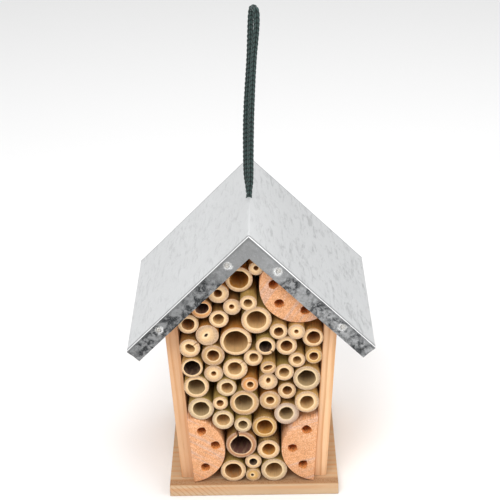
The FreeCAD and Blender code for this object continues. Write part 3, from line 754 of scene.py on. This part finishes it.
class HOTEL_OT_cord(bpy.types.Operator):
    """Knit the cord that the house hangs from"""

    bl_idname = "hotel.cord"
    bl_label = "Hanging cord"

    def execute(self, context):
        sizes = context.scene.hotel_cord
        radius = sizes.diameter / 2
        line, length = evenly(centre_line(CORD_ROUTE), sizes.stitch / STITCH_STEPS)
        ways = []
        side = Vector((0, -1, 0))
        for before, after in zip(line[:1] + line, line[1:] + line[-1:]):
            way = (after - before).normalized()
            side = (side - way * side.dot(way)).normalized()
            ways.append((side, way.cross(side)))
        crowns = {}

        def place(around, step):
            first, second = ways[step]
            angle = 2 * math.pi * around
            along = step / STITCH_STEPS
            height = stitch_height(around * sizes.wales, along)
            fuzz = noise_round(angle, 3, along * 1.7)
            crowns[round(around * 1000), step] = height
            reach = radius * (0.72 + 0.30 * height + 0.05 * fuzz)
            return line[step] + (first * math.cos(angle) + second * math.sin(angle)) * reach

        bm, _ = rolled(sizes.wales * WALE_FACES, len(line) - 1, place, ("stitch",), crowns)
        uv = bm.loops.layers.uv.verify()
        for face in bm.faces:
            for loop in face.loops:
                loop[uv].uv = (loop[uv].uv.x, loop[uv].uv.y * length)
        closed(bm)
        cord = piece("cord", bm, yarn("cord_yarn", sizes.colour, sizes.shade), smooth=180)
        cord.data.uv_layers[0].name = "yarn"
        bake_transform(cord)
        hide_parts("cord_loop")
        line[::4] + line[-1:]
        paint(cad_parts["cord_knot"], plain_yarn("knot_yarn", sizes.colour, sizes.shade))
        return {"FINISHED"}


# ---- roof
class HOTEL_OT_roof(bpy.types.Operator):
    """Fold the galvanised sheet over the roof boards, and drive its nails"""

    bl_idname = "hotel.roof"
    bl_label = "Roof sheet"

    def execute(self, context):
        sizes = context.scene.hotel_sheet
        low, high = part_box("roof_sheet")
        half = (high.x - low.x) / 2
        corner_gap = 1.2 * MM
        bm = bmesh.new()
        bmesh.ops.create_grid(bm, x_segments=2, y_segments=1, size=1)
        for vertex in bm.verts:
            x = vertex.co.x
            vertex.co = (x * half, low.y if vertex.co.y < 0 else high.y, high.z - abs(x) * half)
        front = [e for e in bm.edges if all(v.co.y < 0 for v in e.verts)]
        rear = [e for e in bm.edges if all(v.co.y > 0 for v in e.verts)]
        eaves = [e for e in bm.edges if all(abs(v.co.x) > half * 0.9 for v in e.verts)]
        for edges in (front, rear):
            for v in new_vertices(bmesh.ops.extrude_edge_only(bm, edges=edges)):
                if abs(v.co.x) < half * 0.1:
                    v.co.z -= sizes.drop / SLANT
                else:
                    v.co += Vector((-math.copysign(SLANT, v.co.x), 0, -SLANT)) * sizes.drop
        for edge in eaves:
            for v in new_vertices(bmesh.ops.extrude_edge_only(bm, edges=[edge])):
                v.co += Vector((-math.copysign(SLANT, v.co.x), 0, -SLANT)) * sizes.drop
                v.co.y *= 1 - corner_gap / abs(v.co.y)
        folds = [e for e in bm.edges if e.is_manifold and e.calc_face_angle() > 0.5]
        eased(bm, folds, sizes.bend, 4)
        outwards(bm)
        for _ in range(5):
            long_edges = [e for e in bm.edges if e.calc_length() > 0.006]
            if not long_edges:
                break
            bmesh.ops.subdivide_edges(bm, edges=long_edges, cuts=1, use_grid_fill=True)
        bmesh.ops.triangulate(bm, faces=[f for f in bm.faces if len(f.verts) > 4])
        gable, nail_depth, dent_reach, ripple_height = abs(low.y), 4.5 * MM, 4.2 * MM, 0.22 * MM
        for v in bm.verts:
            depth = (high.z - abs(v.co.x) - v.co.z) * SLANT
            along = (abs(v.co.x) + high.z - v.co.z) * SLANT
            if abs(v.co.y) > gable - 0.5 * MM and depth > 0.5 * MM:
                near = min(
                    math.hypot(along - nail * MM, depth - nail_depth)
                    for nail, only in FLANGE_NAILS if only * v.co.x >= 0
                )
                inward = sizes.dent * math.exp(-((near / dent_reach) ** 2))
                ripple = noise.noise(Vector((v.co.x * 45, v.co.y * 9, v.co.z * 45))) * ripple_height
                inward += (ripple_height + ripple) * min(1, depth / (6 * MM))
                v.co.y -= math.copysign(inward, v.co.y)
            elif depth < 0.5 * MM:
                v.co.z += noise.noise(v.co * 38) * 0.00018 - 0.00018
        bmesh.ops.solidify(bm, geom=bm.faces[:], thickness=-sizes.thickness)
        outwards(bm)
        zinc = galvanised("zinc", sizes.bright, sizes.dull, high.z / MM, FLANGE_NAILS)
        sheet = piece("sheet", bm, zinc, smooth=60)
        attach(sheet, "house")
        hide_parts("roof_sheet")
        paint(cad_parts["nails"], steel("nail_wire"))
        return {"FINISHED"}


# ---- house
class HOTEL_OT_boards(bpy.types.Operator):
    """Plane the boards of the house, each with its own grain"""

    bl_idname = "hotel.boards"
    bl_label = "Boards"

    def execute(self, context):
        sizes = context.scene.hotel_timber
        early, ring = sizes.early, sizes.ring / MM
        upright = (0, 0, 0)
        across = (0, math.radians(90), 0)
        deep = (math.radians(90), 0, 0)
        # Each board: turn of its grain, pith, earlywood, ring width and saw marks. The left wall's earlywood is a
        # darker copy of the pine as painted shade, and the right wall's is a lighter copy as painted light.
        grain = {
            "base_board": (across, (0.02, 0.030, -0.060), (0.60, 0.42, 0.26), ring * 1.2, 0.45),
            "left_wall": ((0, math.radians(3.4), 0), (0.062, -0.09, 0), (0.73, 0.44, 0.25), ring, 0),
            "right_wall": ((0, math.radians(-3.4), 0), (-0.045, -0.10, 0), (0.86, 0.56, 0.33), ring * 1.1, 0),
            "back_panel": (upright, (0.02, 0.15, 0), early, ring * 1.3, 0),
            "left_roof_board": (deep, (0.03, 0, 0.06), early, ring, 0),
            "right_roof_board": (deep, (-0.03, 0, 0.05), early, ring, 0),
        }
        for node, (turn, pith, light, width, saw) in grain.items():
            name = node.removesuffix("_board") + "_plank"
            bm = eased_copy(node, sizes.rounding)
            board = piece(name, bm, pine(f"{name}_pine", turn, pith, light, sizes.late, width, saw))
            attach(board, "house")
            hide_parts(node)
        return {"FINISHED"}


# ---- logs
def hole_cutter(number, off, place, seed, stance, materials):
    """A cutter in the shape of the drill, with a torn rim where it enters the end grain."""

    def bore(around, step):
        angle = 2 * math.pi * around
        y, reach = DRILL_OUTLINE[step]
        torn = max(0, noise_round(angle, 1.6, number * 7.3 + seed)) * 1.1 * MM
        reach += torn * max(0, 1 - max(y, 0) / (1.2 * MM)) * (0 < step < 8)
        return Vector((off + math.cos(angle) * reach, y, place + math.sin(angle) * reach))

    cutter, _ = rolled(32, len(DRILL_OUTLINE) - 1, bore)
    closed(cutter)
    for wall in cutter.faces:
        wall.material_index = 1
    bmesh.ops.transform(cutter, matrix=stance, verts=cutter.verts[:])
    outwards(cutter)
    return piece(f"cutter_{number}", cutter, *materials)


def half_log(node, slant, holes, sizes, inside):
    """A half log with its holes; where it lies is read from the node's front face."""
    low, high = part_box(node)
    front = [v.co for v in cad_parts[node].data.vertices if v.co.y < low.y + 0.0001]
    one, other = max(((a, b) for a in front for b in front), key=lambda pair: (pair[0] - pair[1]).length)
    middle = (one + other) / 2
    along = (other - one).normalized()
    if along.z + 0.5 * along.x < 0:
        along.negate()
    inner = sum(front, Vector()) / len(front) - middle
    inner = (inner - along * inner.dot(along)).normalized()
    stance = Matrix.Identity(4)
    for column, way in enumerate((inner, Vector((0, 1, 0)), along, Vector((middle.x, low.y, middle.z)))):
        stance.col[column].xyz = way
    bm = bmesh.new()
    bmesh.ops.create_circle(bm, cap_ends=True, radius=sizes.log_radius, segments=160)
    upright = Matrix.Rotation(math.radians(90), 3, "X")
    bmesh.ops.rotate(bm, verts=bm.verts[:], cent=(0, 0, 0), matrix=upright)
    bmesh.ops.translate(bm, verts=bm.verts[:], vec=(sizes.log_thickness - sizes.log_radius, 0, 0))
    bmesh.ops.bisect_plane(
        bm, geom=bm.verts[:] + bm.edges[:] + bm.faces[:], dist=1e-7,
        plane_co=(0, 0, 0), plane_no=(1, 0, 0), clear_inner=True,
    )
    grown = new_vertices(bmesh.ops.extrude_face_region(bm, geom=bm.faces[:]))
    bmesh.ops.translate(bm, verts=grown, vec=(0, high.y - low.y, 0))
    outwards(bm)
    rims = [e for e in bm.edges if e.is_manifold and e.calc_face_angle() > 0.6]
    eased(bm, rims, 0.4 * MM, 2)
    bmesh.ops.transform(bm, matrix=stance, verts=bm.verts[:])
    outwards(bm)
    wood = log_wood(f"{node}_grain", sizes.log, slant)
    log = piece(node.replace("_log", "_half_log"), bm, wood, inside)
    cutters = [
        hole_cutter(number, off * MM, place * MM, sum(map(ord, node)), stance, log.data.materials)
        for number, (off, place) in enumerate(holes)
    ]
    drill(log, cutters)
    log.data.set_sharp_from_angle(angle=math.radians(35))
    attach(log, "house")
    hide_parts(node)


class HOTEL_OT_logs(bpy.types.Operator):
    """Turn the three half logs and drill their nest holes"""

    bl_idname = "hotel.logs"
    bl_label = "Half logs"

    def execute(self, context):
        sizes = context.scene.hotel_timber
        inside = hole_wood("drilled_wood", sizes.log)
        for node, (slant, holes) in LOGS.items():
            half_log(node, slant, holes, sizes, inside)
        return {"FINISHED"}


# ---- reeds
def reed_sizes(node):
    """Axis, radius, bore radius, front, rear and depth of the bore, read from the node's own mesh."""
    low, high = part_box(node)
    middle = Vector(((low.x + high.x) / 2, 0, (low.z + high.z) / 2))
    reaches = [
        (math.hypot(v.co.x - middle.x, v.co.z - middle.z), v.co.y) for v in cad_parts[node].data.vertices
    ]
    bore = min(reach for reach, y in reaches if y < low.y + 0.0001)
    septum = max(y for reach, y in reaches if reach < bore + 0.0002)
    return middle, (high.x - low.x) / 2, bore, low.y, high.y, septum


def reed_rings(outer, bore, front, rear, septum, knuckle):
    """Rings of the surface, from the rear end forward and down the bore: place along Y, reach and zone."""
    rings = [(rear, 0, "skin"), (rear, outer * 0.98, "skin"), (rear - 0.4 * MM, outer, "skin")]
    rings += [(knuckle + offset, outer, "skin") for offset in NODE_RINGS]
    rings += [(front + y, outer, "skin") for y in SKIN_RINGS]
    rings += [(front + 0.06 * MM, outer - 0.08 * MM, "skin"), (front, outer - 0.25 * MM, "end")]
    rings += [(front, bore + (outer - bore) * share, "end") for share in WALL_RINGS]
    rings.append((front + 0.1 * MM, bore + 0.04 * MM, "bore"))
    rings += [(front + y, bore, "bore") for y in BORE_RINGS if front + y < septum - MM]
    return rings + [(septum - 0.6 * MM, bore, "bore"), (septum, bore * 0.8, "bore"), (septum, 0, "bore")]


def node_swelling(behind):
    """Height, from 0 to 1, of the ridge at a growth node, with the groove behind it."""
    return math.exp(-((behind / 0.0009) ** 2)) - 0.6 * math.exp(-(((behind - 0.0014) / 0.0007) ** 2))


def cut_reed(number, node, look, sizes, materials):
    """A reed with its own wall, bore and colours, rolled from a grid."""
    middle, outer, bore, front, rear, septum = reed_sizes(node)
    seed = number * 3.71
    split = SPLITS.get(node)
    wall = outer - bore
    knuckle = front + 0.018 + 0.045 * (fixed_noise(seed, 0) * 0.5 + 0.5)
    steps = reed_rings(outer, bore, front, rear, septum, knuckle)
    oval = fixed_noise(seed, 5)
    drift = Vector((fixed_noise(seed, 7), 0, fixed_noise(seed, 9))) * wall * 0.35
    lean = fixed_noise(seed, 11) * 0.05, fixed_noise(seed, 13) * 0.05
    wide, narrow, wide_way = OVAL_BORES.get(node, (1, 1, 0))
    radial = {}

    def place(around, step):
        y, reach, zone = steps[step]
        angle = 2 * math.pi * around
        face = 2 * math.pi / sizes.sides
        if split:
            bearing, width, depth = split
            centre = round(bearing / 360 * sizes.sides) % sizes.sides
            away = (around * sizes.sides - centre + sizes.sides / 2) % sizes.sides - sizes.sides / 2
            if abs(away) >= 1 and reach > 0:
                squeeze = max(0, 1 - width * MM / 2 / (outer * face)) * math.exp(-(abs(away) - 1) / 1.8)
                angle -= math.copysign(squeeze, away) * face
            elif abs(away) < 0.5 and y < front + depth * MM:
                y = front + depth * MM * (1 - 0.25 * max(0, (reach - bore) / max(wall, 1e-6)))
        rough = noise_round(angle, 1.1, seed)
        inner = min(1, max(0, 1 - (reach - bore) / max(wall, 1e-6)))
        if reach > 0:
            if inner > 0:
                ragged = noise_round(angle, 2.3, seed + 40)
                turned = angle - math.radians(wide_way)
                oblong = 1 / math.hypot(math.cos(turned) / wide, math.sin(turned) / narrow) - 1
                reach *= 1 + inner * (0.05 * rough + 0.05 * ragged + oblong)
            reach -= (1 - inner) * outer * 0.012 * (1 + rough + oval * math.cos(2 * angle))
            if zone == "skin" and 0.003 < y - front < rear - front - 0.002:
                reach += sizes.node_swell * (node_swelling(y - knuckle) - 0.5)
        co = Vector((math.cos(angle) * reach, 0, math.sin(angle) * reach))
        if inner > 0:
            co += drift * (1 if zone == "bore" else inner)
        if y < front + 0.004:
            y += (co.x * lean[0] + co.z * lean[1]) + 0.08 * MM * rough + outer * 0.05
        radial[round(around * 1000), step] = 1 - inner
        return middle + co + Vector((0, y, 0))

    bm, step_of = rolled(sizes.sides, len(steps) - 1, place, ("radial",), radial)
    # How far into the bore each point lies, for the bore's painted shade.
    deep = bm.verts.layers.float.new("deep")
    spots = bm.verts.layers.float.new("spots")
    tones = [
        (bm.verts.layers.float_color.new(f"{part}_tone"), palette[word])
        for part, palette, word in zip(("skin", "end", "bore"), (SKINS, ENDS, BORES), look.split())
    ]
    vary = 1 + 0.22 * fixed_noise(seed, 21)
    for vertex in bm.verts:
        vertex[deep] = min(1, max(0, (vertex.co.y - front - 0.012) / 0.05))
        vertex[spots] = 1.0 if look.startswith("spotted") else 0.12
        for layer, tone in tones:
            vertex[layer] = (*darker(tone, vary), 1)
    for face in bm.faces:
        step = max(vertex[step_of] for vertex in face.verts)
        face.material_index = ("skin", "end", "bore").index(steps[step][2])
    closed(bm)
    culm = piece(node.replace("reed", "culm"), bm, *materials, smooth=40)
    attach(culm, "house")
    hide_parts(node)


class HOTEL_OT_reeds(bpy.types.Operator):
    """Cut the bamboo reeds, each with its own skin, wall and bore"""

    bl_idname = "hotel.reeds"
    bl_label = "Reeds"

    def execute(self, context):
        materials = bamboo_skin(), bamboo_end(), bamboo_bore()
        for number, (node, look) in enumerate(zip(REEDS, REED_LOOKS)):
            cut_reed(number, node, look, context.scene.hotel_reeds, materials)
        return {"FINISHED"}


# ---- stage
class HOTEL_OT_stage(bpy.types.Operator):
    """Lay the floor, hang the lights and place the camera"""

    bl_idname = "hotel.stage"
    bl_label = "Stage"

    def execute(self, context):
        sizes = context.scene.hotel_stage
        bm = bmesh.new()
        bmesh.ops.create_grid(bm, x_segments=1, y_segments=1, size=3)
        bmesh.ops.translate(bm, verts=bm.verts[:], vec=(0, 0, -0.0002))
        paper = Finish("floor_paper", {"Specular IOR Level": 0.1})
        grain = paper.noise(paper.place(), 0.01, 2)
        colour = paper.mix(grain * 0.03, sizes.floor, darker(sizes.floor, 0.9))
        floor = piece("floor", bm, paper.done(colour, 0.9))
        world = bpy.data.worlds.new("soft_light")
        world.use_nodes = True
        background = world.node_tree.nodes["Background"]
        background.inputs["Color"].default_value = (1, 1, 1, 1)
        background.inputs["Strength"].default_value = sizes.daylight
        context.scene.world = world
        for name, place, aim, size, power in LAMPS:
            lamp = bpy.data.lights.new(name, "AREA")
            lamp.size = size
            lamp.energy = power
            made = bpy.data.objects.new(name, lamp)
            made.location = place
            made.rotation_euler = (Vector(aim) - Vector(place)).to_track_quat("-Z", "Y").to_euler()
            context.scene.collection.objects.link(made)
        lens = bpy.data.cameras.new("camera")
        lens.lens = sizes.lens
        lens.sensor_width = 36
        lens.clip_start = 0.01
        camera = bpy.data.objects.new("camera", lens)
        context.scene.collection.objects.link(camera)
        level = Vector((math.sin(sizes.yaw), math.cos(sizes.yaw), 0))
        ahead = level * math.cos(sizes.pitch) - Vector((0, 0, math.sin(sizes.pitch)))
        right = Vector((math.cos(sizes.yaw), -math.sin(sizes.yaw), 0))
        above = right.cross(ahead)
        tilted = right * math.cos(sizes.roll) + above * math.sin(sizes.roll)
        above = above * math.cos(sizes.roll) - right * math.sin(sizes.roll)
        turn = Matrix((tilted, above, -ahead)).transposed()
        camera.matrix_world = Matrix.Translation(Vector(sizes.place)) @ turn.to_4x4()
        context.scene.camera = camera
        context.scene.view_settings.view_transform = "Standard"
        return {"FINISHED"}


class HOTEL_PT_pieces(bpy.types.Panel):
    """Lists the steps of building the insect hotel"""

    bl_label = "Insect Hotel"
    bl_idname = "HOTEL_PT_pieces"
    bl_space_type = "VIEW_3D"
    bl_region_type = "UI"
    bl_category = "Insect Hotel"

    def draw(self, context):
        for step in STEPS:
            self.layout.operator(step.bl_idname)
        for name in GROUPS:
            box = self.layout.box()
            settings = getattr(context.scene, name)
            for key in settings.__annotations__:
                box.prop(settings, key)


STEPS = (HOTEL_OT_cord, HOTEL_OT_roof, HOTEL_OT_boards, HOTEL_OT_logs, HOTEL_OT_reeds, HOTEL_OT_stage)
CLASSES = (*GROUPS.values(), *STEPS, HOTEL_PT_pieces)


def register():
    for made in CLASSES:
        bpy.utils.register_class(made)
    for name, group in GROUPS.items():
        setattr(bpy.types.Scene, name, bpy.props.PointerProperty(type=group))


def unregister():
    for name in GROUPS:
        delattr(bpy.types.Scene, name)
    for made in reversed(CLASSES):
        bpy.utils.unregister_class(made)


def main():
    register()
    for step in STEPS:
        group, name = step.bl_idname.split(".")
        getattr(getattr(bpy.ops, group), name)()


if __name__ == "__main__":
    main()
